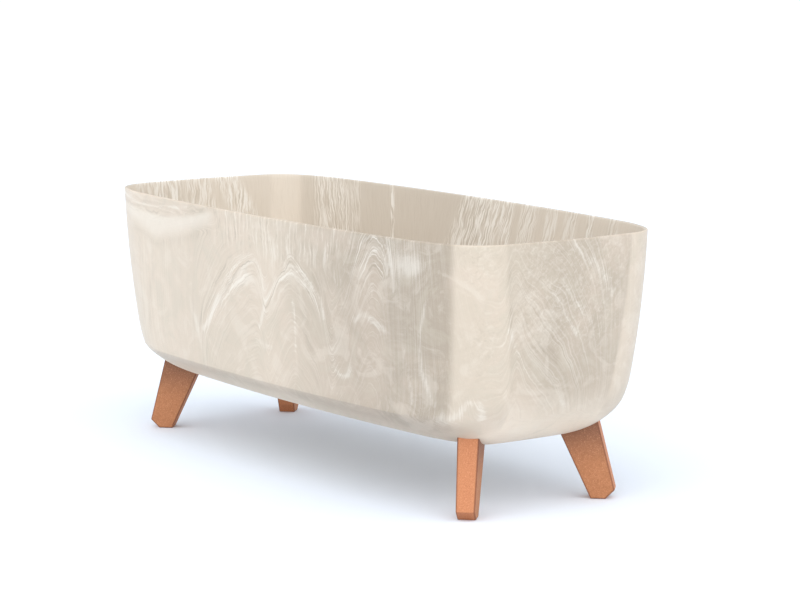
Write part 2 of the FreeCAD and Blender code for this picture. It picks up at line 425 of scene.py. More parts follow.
def point_object(name, points, vectors=None, numbers=None):
    """A mesh of loose points that carry values, for a tree to read."""
    mesh = bpy.data.meshes.new(name)
    mesh.from_pydata([tuple(p) for p in points], [], [])
    if vectors is not None:
        layer = mesh.attributes.new("up", "FLOAT_VECTOR", "POINT")
        layer.data.foreach_set("vector", [c for v in vectors for c in v])
    for key, column in (numbers or {}).items():
        mesh.attributes.new(key, "FLOAT", "POINT").data.foreach_set("value", column)
    thing = bpy.data.objects.new(name, mesh)
    bpy.context.scene.collection.objects.link(thing)
    return thing


# ----------------------------------------------------------- trough by levels
def sheet_of_levels(form):
    """A grid whose rows take the level outlines: one column per step round the trough."""
    start = form.given("Start")
    rows = form.node("GeometryNodeAttributeDomainSize", {"component": "MESH"},
                     {"Geometry": start})
    quarter = sum(ARC_STEPS)
    grid = form.node("GeometryNodeMeshGrid", {}, {"Vertices X": 4 * quarter + 1,
                                                  "Vertices Y": rows})
    index = form.node("GeometryNodeInputIndex")
    column = ((index + 0.5) / rows).floor()
    row = index - column * rows

    def at_level(key):
        return form.node("GeometryNodeSampleIndex", {"data_type": "FLOAT", "domain": "POINT"},
                         {"Geometry": start, "Value": form.named(key), "Index": row})

    right = 1 - (column > 2 * quarter + 0.5) * 2
    from_back = abs(column - 2 * quarter)
    front = from_back > quarter - 0.5
    step = form.minimum(from_back, 2 * quarter - from_back)
    turns = [0.0, at_level("turn_1"), at_level("turn_2"), at_level("turn_3"), math.pi / 2]
    x, y, along, begun = 0.0, at_level("half_width"), 0.0, 0
    for k, count in enumerate(ARC_STEPS):
        part = ((step - begun) / count).clamped()
        low = turns[k]
        high = low + (turns[k + 1] - low) * part
        radius = at_level("radius_%d" % k)
        x = x + radius * (form.sine(high) - form.sine(low))
        y = y - radius * (form.cosine(low) - form.cosine(high))
        along = along + part * RIM_ARCS[k]
        begun += count
    place = form.vector(x * right, y * (1 - front * 2), at_level("height"))
    along = (along * front + (PERIMETER / 2 - along) * (1 - front)) * right
    sheet = form.node("GeometryNodeSetPosition", {}, {"Geometry": grid, "Position": place})
    sheet = form.keep(sheet, "along", along)
    sheet = form.keep(sheet, "within", at_level("within"))
    return form.node("GeometryNodeMergeByDistance", {},
                     {"Geometry": sheet, "Distance": SAME_PLACE})


def rods(form, places, radius, up_from, length, facets=40):
    """Cylinders on the places, along their up directions, reaching up from up_from."""
    rod = form.node("GeometryNodeMeshCylinder", {"fill_type": "NGON"},
                    {"Vertices": facets, "Radius": radius, "Depth": 1.0})
    rod = form.node("GeometryNodeTransform", {}, {"Geometry": rod, "Translation": (0, 0, 0.5)})
    turn = form.node("FunctionNodeAlignRotationToVector", {"axis": "Z"},
                     {"Vector": form.named("up", "FLOAT_VECTOR")})
    start = form.times(form.named("up", "FLOAT_VECTOR"), up_from)
    rod_places = form.node("GeometryNodeSetPosition", {}, {"Geometry": places, "Offset": start})
    placed = form.node("GeometryNodeInstanceOnPoints", {},
                       {"Points": rod_places, "Instance": rod, "Rotation": turn,
                        "Scale": form.vector(1.0, 1.0, length)})
    return form.node("GeometryNodeRealizeInstances", {}, {"Geometry": placed})


def trough_forming(outside, inside, screws, drains):
    """The moulding: level outlines, bosses on the inner floor, holes through it."""
    form = Forming("trough_by_levels", {
        "Boss radius": BOSS_RADIUS, "Hole radius": HOLE_RADIUS, "Drain radius": DRAIN_RADIUS,
        "Wall": WALL, "Screw places": screws, "Drain places": drains,
        "Outside": outside, "Inside": inside})
    shell = sheet_of_levels(form)
    screw_points = form.node("GeometryNodeObjectInfo", {}, {0: form.given("Screw places")},
                             "Geometry")
    drain_points = form.node("GeometryNodeObjectInfo", {}, {0: form.given("Drain places")},
                             "Geometry")
    up = form.named("up", "FLOAT_VECTOR")
    drop = form.node("GeometryNodeRaycast", {}, {"Target Geometry": shell,
                                                 "Ray Direction": form.times(up, -1.0),
                                                 "Ray Length": RAY_REACH}, "Hit Distance")
    depth = drop + form.given("Wall") * 0.5
    bosses = form.keep(rods(form, screw_points, form.given("Boss radius"), -depth, depth),
                       "within", 1.0)
    holes = rods(form, screw_points, form.given("Hole radius"), -BORE_BELOW, BORE_LENGTH)
    drain_holes = rods(form, drain_points, form.given("Drain radius"), 0.0, 20 * MM, 64)
    formed = form.combine("UNION", shell, bosses)
    formed = form.combine("DIFFERENCE", formed, holes, drain_holes)
    formed = form.node("GeometryNodeRealizeInstances", {}, {"Geometry": formed})
    x, y, z = form.parts(form.node("GeometryNodeInputPosition"))
    # the drains' upper edges belong to the inner floor
    floor = ((z > UNDERSIDE + WALL / 2) * (-abs(x) > -0.6 * HALF_LENGTH)
             * (-abs(y) > -4 * DRAIN_RADIUS))
    formed = form.keep(formed, "within", (form.named("within") + floor).clamped())
    formed = form.node("GeometryNodeSetShadeSmooth", {}, {"Geometry": formed})
    bend = form.node("GeometryNodeInputMeshEdgeAngle")
    formed = form.node("GeometryNodeSetShadeSmooth", {"domain": "EDGE"},
                       {"Geometry": formed, "Selection": bend > SHARP_EDGE,
                        "Shade Smooth": False})
    formed = form.node("GeometryNodeSetMaterial", {}, {"Geometry": formed,
                                                       "Material": form.given("Outside")})
    formed = form.node("GeometryNodeSetMaterial", {},
                       {"Geometry": formed, "Material": form.given("Inside"),
                        "Selection": form.named("within") > 0.6})
    form.deliver(formed)
    return form


# ------------------------------------------------------------- marbled flow
# Where the melt rose and folded as the trough was moulded: (along the rim, lift).
FRONT_FOLDS = [(-0.300, 1.30), (-0.270, 1.10), (-0.235, 0.80), (-0.205, 0.62), (-0.170, 0.42),
               (-0.145, 0.27), (-0.125, 0.15), (-0.107, 0.085), (-0.089, 0.062), (-0.071, 0.043),
               (-0.040, 0.021), (-0.015, 0.005), (0.001, 0.000), (0.008, 0.014),
               (0.012, 0.046), (0.018, 0.036), (0.038, 0.012), (0.058, -0.006), (0.072, 0.000),
               (0.087, 0.012), (0.104, 0.028), (0.110, 0.060), (0.120, 0.085), (0.140, 0.060),
               (0.160, 0.010), (0.178, -0.020),
               (0.196, -0.006), (0.205, 0.040), (0.215, 0.120), (0.230, 0.230), (0.250, 0.400),
               (0.275, 0.560), (0.295, 0.640), (0.315, 0.640)]
END_FOLDS = [(0.327, 0.600), (0.337, 0.626), (0.356, 0.645), (0.379, 0.664), (0.396, 0.690),
             (0.412, 0.715), (0.430, 0.760), (0.455, 0.900), (0.480, 1.100), (0.510, 1.300)]
BACK_FOLDS = [(0.560, 1.05), (0.600, 0.92), (0.640, 0.90), (0.665, 1.00), (0.700, 1.02),
              (0.730, 0.96), (0.765, 1.01), (0.785, 1.16)]
FAR_FOLDS = [(-0.755, 1.22), (-0.720, 1.10), (-0.690, 1.13), (-0.660, 1.30), (-0.620, 1.42),
             (-0.585, 1.36), (-0.550, 1.44), (-0.500, 1.60), (-0.460, 1.45), (-0.430, 1.38),
             (-0.400, 1.36), (-0.370, 1.42), (-0.335, 1.45)]

# Where the pale resin gathered: (along, height, reach along, reach up, strength).
VEILS = [(-0.018, 0.178, 0.018, 0.008, 0.50), (0.226, 0.219, 0.024, 0.012, 0.95),
         (0.137, 0.191, 0.018, 0.018, 0.45),
         (-0.118, 0.125, 0.012, 0.026, 0.45), (0.250, 0.115, 0.014, 0.022, 0.40),
         (0.398, 0.137, 0.030, 0.022, 0.35), (0.274, 0.088, 0.016, 0.010, 0.60),
         (0.620, 0.190, 0.050, 0.016, 0.80), (0.700, 0.150, 0.030, 0.030, 0.60),
         (-0.720, 0.200, 0.035, 0.014, 0.80), (-0.640, 0.140, 0.025, 0.035, 0.60),
         (-0.560, 0.205, 0.030, 0.012, 0.70), (-0.420, 0.180, 0.030, 0.025, 0.60)]

# Pale ribbons folded into the outside: half width, strength, then (along, height) stops.
PALE_RIBBONS = [
    (2.0, 0.9, (-0.285, 0.236), (-0.240, 0.231), (-0.200, 0.229), (-0.160, 0.231),
     (-0.120, 0.235)),
    (2.8, 0.9, (-0.107, 0.122), (-0.089, 0.136), (-0.071, 0.155), (-0.040, 0.177),
     (-0.015, 0.193), (0.001, 0.199), (0.010, 0.188), (0.014, 0.164)),
    (1.4, 0.9, (-0.094, 0.143), (-0.076, 0.161), (-0.046, 0.182), (-0.022, 0.196)),
    (1.4, 0.8, (-0.098, 0.126), (-0.083, 0.140), (-0.066, 0.155), (-0.042, 0.170)),
    (5.0, 0.7, (-0.040, 0.163), (-0.026, 0.175), (-0.008, 0.182), (0.000, 0.178)),
    (2.8, 0.9, (0.003, 0.137), (0.016, 0.164), (0.038, 0.185), (0.058, 0.201),
     (0.075, 0.197), (0.087, 0.189), (0.104, 0.175), (0.109, 0.159)),
    (4.0, 0.8, (0.045, 0.186), (0.063, 0.193), (0.080, 0.184)),
    (2.4, 0.8, (0.061, 0.168), (0.064, 0.150), (0.063, 0.123)),
    (2.4, 0.8, (0.161, 0.226), (0.168, 0.235), (0.178, 0.239), (0.190, 0.236),
     (0.199, 0.228), (0.206, 0.210), (0.208, 0.193)),
    (2.4, 0.8, (0.180, 0.226), (0.189, 0.230), (0.196, 0.220), (0.200, 0.207)),
    (4.5, 0.8, (0.155, 0.163), (0.168, 0.169), (0.184, 0.164), (0.198, 0.158)),
    (2.8, 0.7, (0.123, 0.124), (0.128, 0.113), (0.138, 0.109), (0.147, 0.112), (0.151, 0.121)),
    (4.0, 0.6, (-0.006, 0.127), (0.009, 0.121), (0.024, 0.121)),
    (3.5, 0.35, (-0.132, 0.150), (-0.120, 0.126), (-0.114, 0.098)),
    (2.4, 0.6, (0.225, 0.145), (0.230, 0.125), (0.240, 0.100)),
    (2.4, 0.6, (0.248, 0.190), (0.242, 0.160), (0.246, 0.130), (0.256, 0.112), (0.263, 0.100)),
    (4.0, 0.4, (0.302, 0.182), (0.306, 0.165), (0.314, 0.153), (0.327, 0.158)),
    (3.6, 0.6, (0.320, 0.166), (0.328, 0.148), (0.338, 0.132), (0.356, 0.116),
     (0.379, 0.102), (0.398, 0.094)),
    (7.0, 0.6, (0.388, 0.236), (0.404, 0.222), (0.424, 0.208), (0.436, 0.190)),
    (3.0, 0.6, (0.362, 0.202), (0.378, 0.180), (0.396, 0.157)),
    (3.0, 0.6, (0.376, 0.204), (0.392, 0.186), (0.414, 0.166)),
    (3.5, 0.7, (0.284, 0.092), (0.289, 0.105), (0.297, 0.104), (0.302, 0.090)),
    (4.0, 0.8, (0.560, 0.120), (0.600, 0.165), (0.625, 0.200), (0.650, 0.205), (0.672, 0.170)),
    (3.0, 0.8, (0.690, 0.110), (0.712, 0.160), (0.740, 0.190), (0.768, 0.182)),
    (4.0, 0.8, (-0.745, 0.110), (-0.715, 0.165), (-0.690, 0.192), (-0.655, 0.180)),
    (3.0, 0.8, (-0.610, 0.130), (-0.585, 0.185), (-0.560, 0.205), (-0.540, 0.170)),
    (5.0, 0.8, (-0.450, 0.100), (-0.425, 0.150), (-0.395, 0.175), (-0.360, 0.210))]

# Darker seams beside the folds, in the same form.
DARK_RIBBONS = [
    (2.6, 0.9, (-0.114, 0.126), (-0.097, 0.146), (-0.079, 0.167), (-0.050, 0.187)),
    (2.6, 0.9, (0.094, 0.196), (0.110, 0.178), (0.116, 0.158), (0.119, 0.140)),
    (4.0, 0.5, (-0.241, 0.206), (-0.190, 0.193), (-0.123, 0.206), (-0.080, 0.218)),
    (1.8, 0.45, (-0.270, 0.229), (-0.225, 0.225), (-0.170, 0.224), (-0.125, 0.229),
     (-0.090, 0.235)),
    (1.6, 0.4, (-0.250, 0.236), (-0.205, 0.233), (-0.165, 0.235)),
    (2.2, 1.0, (-0.082, 0.240), (-0.066, 0.236), (-0.060, 0.229), (-0.062, 0.218)),
    (2.4, 0.8, (0.172, 0.229), (0.181, 0.234), (0.190, 0.228), (0.194, 0.214)),
    (2.6, 0.8, (0.202, 0.234), (0.210, 0.215), (0.214, 0.196), (0.222, 0.182)),
    (4.0, 0.5, (-0.200, 0.170), (-0.220, 0.140), (-0.228, 0.110)),
    (4.0, 0.5, (0.078, 0.160), (0.086, 0.130), (0.102, 0.100)),
    (2.6, 0.7, (0.322, 0.218), (0.320, 0.190), (0.322, 0.170)),
    (3.0, 0.7, (0.345, 0.150), (0.356, 0.147), (0.368, 0.146), (0.376, 0.136)),
    (3.0, 0.6, (0.392, 0.196), (0.408, 0.176), (0.428, 0.160)),
    (3.0, 0.7, (0.590, 0.130), (0.615, 0.180), (0.640, 0.190), (0.660, 0.160)),
    (3.0, 0.7, (-0.730, 0.120), (-0.705, 0.160), (-0.675, 0.165))]

# Pale streaked bands down the inside: (along the rim, half width, lean, strength).
INNER_BANDS = [(-0.316, 0.011, 0.0, 0.6), (-0.345, 0.018, 0.1, 1.0), (-0.382, 0.017, 0.2, 0.75),
               (-0.416, 0.015, 0.6, 1.0), (-0.546, 0.028, 0.0, 0.8), (-0.582, 0.008, 0.0, 0.5),
               (-0.641, 0.004, 0.0, 1.0), (0.776, 0.020, -0.60, 0.8), (0.748, 0.020, -0.45, 1.0),
               (0.724, 0.010, -0.20, 0.9), (0.690, 0.014, -0.25, 0.7), (0.655, 0.010, -0.20, 0.7),
               (0.625, 0.010, -0.20, 0.6), (0.595, 0.005, -0.15, 1.0), (0.560, 0.008, -0.1, 0.5),
               (0.450, 0.020, 0.1, 0.8), (0.400, 0.012, 0.1, 0.6), (0.340, 0.020, 0.2, 0.9),
               (0.230, 0.030, 0.2, 0.8), (0.130, 0.012, 0.1, 0.7), (0.060, 0.030, 0.35, 0.9),
               (-0.060, 0.016, 0.2, 0.8), (-0.160, 0.034, 0.1, 0.9), (-0.250, 0.010, 0.1, 0.7)]

# Lightness of the resin, 0 dark to 1 light, mostly painted light and shade: places round the rim,
# then tones.
INNER_TONE = ((-0.78, -0.64, -0.52, -0.46, -0.42, -0.30, 0.0, 0.30, 0.45, 0.60, 0.75),
              (0.20, 0.24, 0.25, 0.48, 0.54, 0.40, 0.5, 0.5, 0.48, 0.46, 0.34))
# painted light on the long sides: lit at the left, painted shade towards the right
SIDE_PAINTED_LIGHT = ((-0.30, -0.12, 0.02, 0.16, 0.25), (0.74, 0.52, 0.54, 0.06, 0.04))
# painted light on the end: lighter beside the corner, painted shade across the middle
END_PAINTED_LIGHT = ((0.33, 0.37, 0.46), (0.32, 0.16, 0.16))
# painted highlight on the outer and inner corners, then the inner floor's value
CORNER_PAINTED_HIGHLIGHT, INNER_CORNER_PAINTED_HIGHLIGHT, INNER_FLOOR_TONE = 0.48, 0.60, 0.45
FOLD_SOFTNESS, FOLD_REACH = 3.5 * MM, 18.0 * MM


def ease(low, high, value):
    """0 below low, 1 above high, eased between."""
    t = np.clip((value - low) / (high - low), 0, 1)
    return t * t * (3 - 2 * t)


def round_gap(along, at):
    """Signed distance round the rim from a place, the short way."""
    return (along - at + PERIMETER / 2) % PERIMETER - PERIMETER / 2


def lift_of(along):
    """The folds' lift, smoothed over FOLD_SOFTNESS so that no fold is a sharp point."""
    stops = sorted(FRONT_FOLDS + END_FOLDS + BACK_FOLDS + FAR_FOLDS)
    grid = np.linspace(-PERIMETER / 2, PERIMETER / 2, 3201)
    values = np.interp(grid, *zip(*stops), period=PERIMETER)
    step = grid[1] - grid[0]
    reach = int(FOLD_REACH / step)
    kernel = np.exp(-0.5 * (np.arange(-reach, reach + 1) * step / FOLD_SOFTNESS) ** 2)
    padded = np.concatenate([values[-reach - 1:-1], values, values[1:reach + 1]])
    return np.interp(along, grid, np.convolve(padded, kernel / kernel.sum(), "valid"))


def cap_share(along, z):
    """Under the rim at the front left the lines fan out flat, then fold down."""
    edge = 0.196 + 0.020 * ease(-0.20, -0.08, along)
    return (ease(edge, edge + 0.018, z) * ease(-0.36, -0.30, along)
            * (1 - ease(-0.070, -0.045, along)))


def cap_flow(along, z):
    """The flatter flow under the rim at the front left."""
    return (z - 0.200) * 0.9 + 0.06 * (along + 0.30) ** 2 + ease(-0.085, -0.055, along) * 0.20


def fan_of(z, along):
    """The broad smooth pale fan at the front left, with its lower edge drawn to a point."""
    lower = np.interp(along, (-0.300, -0.241, -0.190, -0.123, -0.070),
                      (0.222, 0.212, 0.198, 0.211, 0.226))
    upper = np.interp(along, (-0.300, -0.220, -0.170, -0.110, -0.070),
                      (0.230, 0.223, 0.221, 0.228, 0.236))
    return (ease(lower - 5 * MM, lower + 10 * MM, z) * (1 - ease(upper - 2 * MM, upper + 2 * MM, z))
            * ease(-0.315, -0.27, along) * (1 - ease(-0.085, -0.065, along)))


def grit_of(z, along):
    """Where the resin broke into fine grains: the upper ends, the corners' tops and beside them."""
    around = PERIMETER / 4 - np.abs(np.abs(along) - PERIMETER / 4)
    grains = ease(0.310, 0.345, around) * ease(0.125, 0.175, z)
    grains += 0.7 * np.exp(-((around - 0.295) / 0.020) ** 2) * ease(0.19, 0.22, z)
    grains += 0.6 * np.exp(-((around - 0.300) / 0.012) ** 2 - ((z - 0.155) / 0.03) ** 2)
    return np.clip(grains + 0.15, 0, 1)


def falls_of(z, along):
    """Under the rim at the front middle the strands fall straight, down to the arches' tops."""
    foot = np.interp(along, (-0.060, -0.030, 0.001, 0.024, 0.058, 0.100, 0.130),
                     (0.205, 0.198, 0.203, 0.180, 0.205, 0.195, 0.185))
    return (ease(foot - 2 * MM, foot + 10 * MM, z) * ease(-0.080, -0.050, along)
            * (1 - ease(0.125, 0.155, along)))


def flow_of(x, y, z, along):
    """The value that the strands follow: level lines of height plus the folds' lift."""
    share = cap_share(along, z)
    flow = (z + lift_of(along)) * (1 - share) + cap_flow(along, z) * share
    flat = 1 - ease(UNDERSIDE + 6 * MM, CREASE, z)
    return flow * (1 - flat) + (0.9 * x + 1.7 * y) * flat


def veil_of(z, along):
    """How much pale resin gathered on the outside: the ribbons, and soft spots beside them."""
    amount = ribbons_of(PALE_RIBBONS, z, along)
    for at, height, wide, tall, strength in VEILS:
        amount += strength * np.exp(-(round_gap(along, at) / wide) ** 2
                                    - ((z - height) / tall) ** 2)
    return np.clip(amount, 0, 1)


def ribbons_of(ribbons, z, along):
    """How much of a ribbon crosses each place, from its distance to the ribbon's line."""
    amount = np.zeros_like(along)
    for wide, strength, *stops in ribbons:
        near = np.full_like(along, 1.0)
        for (a0, z0), (a1, z1) in zip(stops[:-1], stops[1:]):
            da, dz = a1 - a0, z1 - z0
            u, v = round_gap(along, a0), z - z0
            part = np.clip((u * da + v * dz) / (da * da + dz * dz), 0, 1)
            near = np.minimum(near, np.hypot(u - part * da, v - part * dz))
        amount = np.maximum(amount, strength * np.exp(-(near / (wide * MM)) ** 2))
    return amount


def crisp_of(flow, z, along):
    """How plainly the strands show: along the folds, little in the smooth places."""
    under_rim = ease(0.190, 0.220, z) * ease(-0.07, -0.04, along) * (1 - ease(0.22, 0.27, along))
    amount = 0.30 + 0.5 * under_rim
    amount += 0.5 * np.exp(-(round_gap(along, 0.185) / 0.028) ** 2 - ((z - 0.21) / 0.03) ** 2)
    amount += 0.8 * np.exp(-((flow - 0.197) / 0.011) ** 2) * (np.abs(along) < 0.13)
    amount += 0.15 * np.exp(-(round_gap(along, 0.245) / 0.022) ** 2)
    amount += 0.35 * np.exp(-(round_gap(along, -0.235) / 0.05) ** 2) * (1 - ease(0.18, 0.2, z))
    amount += 0.05 * ease(0.325, 0.34, np.abs(along)) * ease(0.13, 0.17, z) * (np.abs(along) < 0.46)
    corner = np.exp(-((np.abs(np.abs(along) - PERIMETER / 4) - 0.095) / 0.022) ** 2)
    return np.clip(amount * (1 - 0.7 * corner), 0.05, 1)


def above_floor(z):
    """1 on the inner walls, easing to 0 on the inner floor."""
    return ease(UNDERSIDE + 14 * MM, UNDERSIDE + 42 * MM, z)


def bands_of(z, along):
    """How much of a pale band runs down the inside at each place."""
    amount = np.zeros_like(along)
    for at, wide, lean, strength in INNER_BANDS:
        gap = round_gap(along, at + lean * (z - RIM))
        amount += strength * (1 - ease(0.7 * wide, 1.15 * wide, np.abs(gap)))
    return np.clip(amount, 0, 1) * above_floor(z)


def tone_of(z, along, within):
    """Slow change of lightness round the trough, 0 dark to 1 light: the inside's set lightness,
    with painted light and shade over both faces (lit left and shaded right on the long sides,
    painted highlights down the corners, painted shade under the crease, painted bounce light and
    reflection low down, painted shade on the rim's land).
    """
    quarter = PERIMETER / 4
    in_quarter = quarter - np.abs(np.abs(along) - quarter)
    corner_from, corner_to = sum(RIM_ARCS[:2]), sum(RIM_ARCS[:3])
    drop = np.clip((RIM - z) / (RIM - CREASE), 0, 1)
    edge = corner_from + 5 * MM * drop
    until = corner_to - 13 * MM * (within > 0.5)
    # band of each corner's painted highlight
    corner = (ease(edge - 4 * MM, edge + 4 * MM, in_quarter)
              * (1 - ease(until - 1 * MM, until + 3 * MM, in_quarter)))
    at_end = ease(edge - 2 * MM, corner_to, in_quarter)
    mirrored = np.where(np.abs(along) < quarter, along, np.sign(along) * 2 * quarter - along)
    # painted light and shade along the long side
    side = np.interp(mirrored, *SIDE_PAINTED_LIGHT)
    # painted light and shade across the end
    end = np.interp(np.abs(along), *END_PAINTED_LIGHT)
    # painted bounce light from the floor on the end's lower curve
    end += 0.85 * (1 - ease(UNDERSIDE + 6 * MM, UNDERSIDE + 60 * MM, z))
    # painted shade in a band just under the crease
    painted_crease_shade = np.exp(-((z - CREASE + 4.5 * MM) / (4.5 * MM)) ** 2)
    outer = side * (1 - at_end) + end * at_end - 0.24 * painted_crease_shade * (1 - at_end)
    # painted reflection of the bright floor, lighter towards the long side's lower edge
    outer += 0.55 * (1 - ease(UNDERSIDE + 4 * MM, UNDERSIDE + 24 * MM, z)) * (1 - at_end)
    # painted highlight down the outer corners, above the crease
    outer += (CORNER_PAINTED_HIGHLIGHT - outer) * corner * ease(CREASE - 16 * MM, CREASE + 4 * MM, z)
    inner = np.interp(along, *INNER_TONE, period=PERIMETER)
    # painted highlight down the inner corners
    inner += (INNER_CORNER_PAINTED_HIGHLIGHT - inner) * corner
    inner += (INNER_FLOOR_TONE - inner) * (1 - above_floor(z))
    # painted shade on the rim's top land
    inner *= 1 - ease(RIM - 0.5 * MM, RIM - 0.1 * MM, z)
    return np.clip(np.where(within > 0.5, inner, outer), 0, 1)


def add_flow(mesh):
    """Writes the marbling's values, and the tone of painted light and shade, onto the trough's
    vertices.
    """
    count = len(mesh.vertices)
    place = np.zeros(count * 3)
    mesh.vertices.foreach_get("co", place)
    x, y, z = place.reshape(-1, 3).T
    along, within = np.zeros(count), np.zeros(count)
    mesh.attributes["along"].data.foreach_get("value", along)
    mesh.attributes["within"].data.foreach_get("value", within)
    flow = flow_of(x, y, z, along)
    # tone holds painted light and shade over the inside's set lightness
    values = {"flow": flow, "tone": tone_of(z, along, within),
              "veil": np.where(within > 0.5, bands_of(z, along), veil_of(z, along)),
              "seam": ribbons_of(DARK_RIBBONS, z, along), "crisp": crisp_of(flow, z, along),
              "fan": fan_of(z, along), "falls": falls_of(z, along), "grit": grit_of(z, along)}
    for name, data in values.items():
        mesh.attributes.new(name, "FLOAT", "POINT").data.foreach_set("value", data)
    mesh.attributes.remove(mesh.attributes["along"])


# ----------------------------------------------------------- shader writing
class Paint(Tree):
    """A material made of nodes."""

    def __init__(self, name):
        self.material = bpy.data.materials.new(name)
        self.material.use_nodes = True
        super().__init__(self.material.node_tree)
        self.shader = self.nodes["Principled BSDF"]

    def attribute(self, name):
        return self.node("ShaderNodeAttribute", {"attribute_name": name}, output="Fac")

    def position(self):
        return self.node("ShaderNodeTexCoord", output="Object")

    def noise(self, vector, scale, detail=3.0, roughness=0.5, distortion=0.0):
        return self.node("ShaderNodeTexNoise", {"noise_dimensions": "3D"},
                         {"Vector": vector, "Scale": scale, "Detail": detail,
                          "Roughness": roughness, "Distortion": distortion})

    def mix(self, factor, a, b):
        return self.node("ShaderNodeMix", {"data_type": "RGBA"}, {0: factor, 6: a, 7: b}, output=2)

    def bump(self, height, distance):
        return self.node("ShaderNodeBump", {}, {"Height": height, "Distance": distance})

    def finish(self, **sockets):
        for name, value in sockets.items():
            self.feed(self.shader.inputs[name.replace("_", " ")], value)
        return self.material


def srgb(r, g, b):
    """Linear colour of an 8-bit sRGB value."""
    def linear(v):
        v = v / 255
        return v / 12.92 if v <= 0.04045 else ((v + 0.055) / 1.055) ** 2.4
    return (linear(r), linear(g), linear(b), 1.0)


def moulded_grain(paint, place):
    """The faint pebbling of the moulded face."""
    return paint.bump(paint.noise(place, 900.0, 2.0, 0.6), 0.06 * MM)


def marbled_outside():
    """Strands along the flow, frayed and darker at the seams, with milky veils and fine grit."""
    paint = Paint("marbled_plastic_outside")
    place = paint.position()
    x, y, z = paint.parts(place)
    veil, seam, crisp = (paint.attribute(name) for name in ("veil", "seam", "crisp"))
    drift = paint.noise(place, 15.0, 3.0, 0.55) - 0.5
    ripple = paint.noise(place, 70.0, 3.0, 0.55) - 0.5
    fray = paint.noise(place, 260.0, 2.0, 0.5) - 0.5
    line = paint.attribute("flow") + drift * 0.022 + ripple * 0.008 + fray * 0.0018
    strand = paint.noise(paint.vector(line * 420, x * 16, y * 16 + z * 10), 1.0, 3.0, 0.62)
    fall = x + (x - 0.03) * (RIM - z) * 1.5 + ripple * 0.008 + drift * 0.01
    falling = paint.noise(paint.vector(fall * 300, 0.0, z * 26), 1.0, 3.0, 0.62)
    strand = strand + (falling - strand) * paint.attribute("falls")
    cord = paint.noise(paint.vector(line * 130, x * 14, y * 14 + z * 9), 1.0, 2.0, 0.5)
    cloud = paint.noise(place, 10.0, 5.0, 0.6, 1.2)
    patch = paint.noise(place, 26.0, 5.0, 0.65, 1.5)
    # the tone attribute lays painted light and shade into the base colour
    tone = paint.mix(paint.attribute("tone"), srgb(162, 148, 131), srgb(228, 213, 193))
    tone = paint.mix(cloud.ramp(0.38, 0.64) * 0.30, tone, srgb(212, 193, 175))
    tone = paint.mix(patch.ramp(0.48, 0.66) * 0.34, tone, srgb(192, 182, 164))
    tone = paint.mix((1 - patch.ramp(0.36, 0.50)) * 0.24, tone, srgb(220, 210, 195))
    # the milky colour follows the same painted light and shade
    milk = paint.mix(paint.attribute("tone"), srgb(213, 205, 193), srgb(231, 221, 206))
    ragged = (veil + (patch - 0.5) * 1.4 + (strand - 0.5) * 1.6).ramp(0.30, 0.95)
    tone = paint.mix(ragged * veil.ramp(0.04, 0.60) * 0.55, tone, milk)
    pale = strand.ramp(0.50, 0.66) * (crisp * 0.75 + veil * 0.35)
    tone = paint.mix(pale, tone, milk)
    tone = paint.mix(paint.attribute("fan") * 0.50, tone, milk)
    grit = paint.attribute("grit")
    slanted = paint.vector(x * 1.2 + z * 0.5, y * 1.2 - z * 0.5, z)
    grains = paint.noise(slanted, 190.0, 6.0, 0.70, 0.8)
    tone = paint.mix(grains.ramp(0.50, 0.66) * grit * 0.30, tone, milk)
    tone = paint.mix((1 - grains.ramp(0.36, 0.47)) * grit * 0.26, tone, srgb(160, 147, 130))
    dark = (1 - strand.ramp(0.34, 0.46)) * crisp * cord.ramp(0.36, 0.56) * 0.5
    dark = dark + (1 - strand.ramp(0.40, 0.56)) * seam * 0.55
    tone = paint.mix(dark, tone, srgb(156, 143, 126))
    return paint.finish(Base_Color=tone, Roughness=0.42 + strand * 0.10,
                        Normal=moulded_grain(paint, place), IOR=1.46)


def marbled_inside():
    """Pale streaked bands running down the inner walls over a quieter ground."""
    paint = Paint("marbled_plastic_inside")
    place = paint.position()
    x, y, z = paint.parts(place)
    bands = paint.attribute("veil")
    sway = paint.noise(place, 18.0, 3.0, 0.5) - 0.5
    flick = paint.noise(place, 80.0, 2.0, 0.5) - 0.5
    slope = 0.12 - x.ramp(-0.16, -0.02) * 0.50
    across = (x + y) + sway * 0.012 + flick * 0.006 + (z - RIM) * slope
    strand = paint.noise(paint.vector(across * 480, 0.0, z * 34), 1.0, 3.0, 0.62)
    cord = paint.noise(paint.vector(across * 150, 3.0, z * 14), 1.0, 2.0, 0.5)
    cloud = paint.noise(place, 12.0, 4.0, 0.6)
    # the tone attribute brings painted highlights on the inner corners and painted shade on the
    # rim's land
    tone = paint.mix(paint.attribute("tone"), srgb(182, 171, 157), srgb(238, 226, 211))
    tone = paint.mix(cloud.ramp(0.35, 0.65) * 0.30, tone, srgb(200, 190, 176))
    dark = (1 - strand.ramp(0.36, 0.46)) * (bands * 0.30 + 0.10)
    tone = paint.mix(dark, tone, srgb(170, 158, 142))
    pale = strand.ramp(0.46, 0.56) * (bands * cord.ramp(0.26, 0.44) + 0.06)
    tone = paint.mix(pale, tone, srgb(228, 222, 213))
    return paint.finish(Base_Color=tone, Roughness=0.5, Normal=moulded_grain(paint, place))


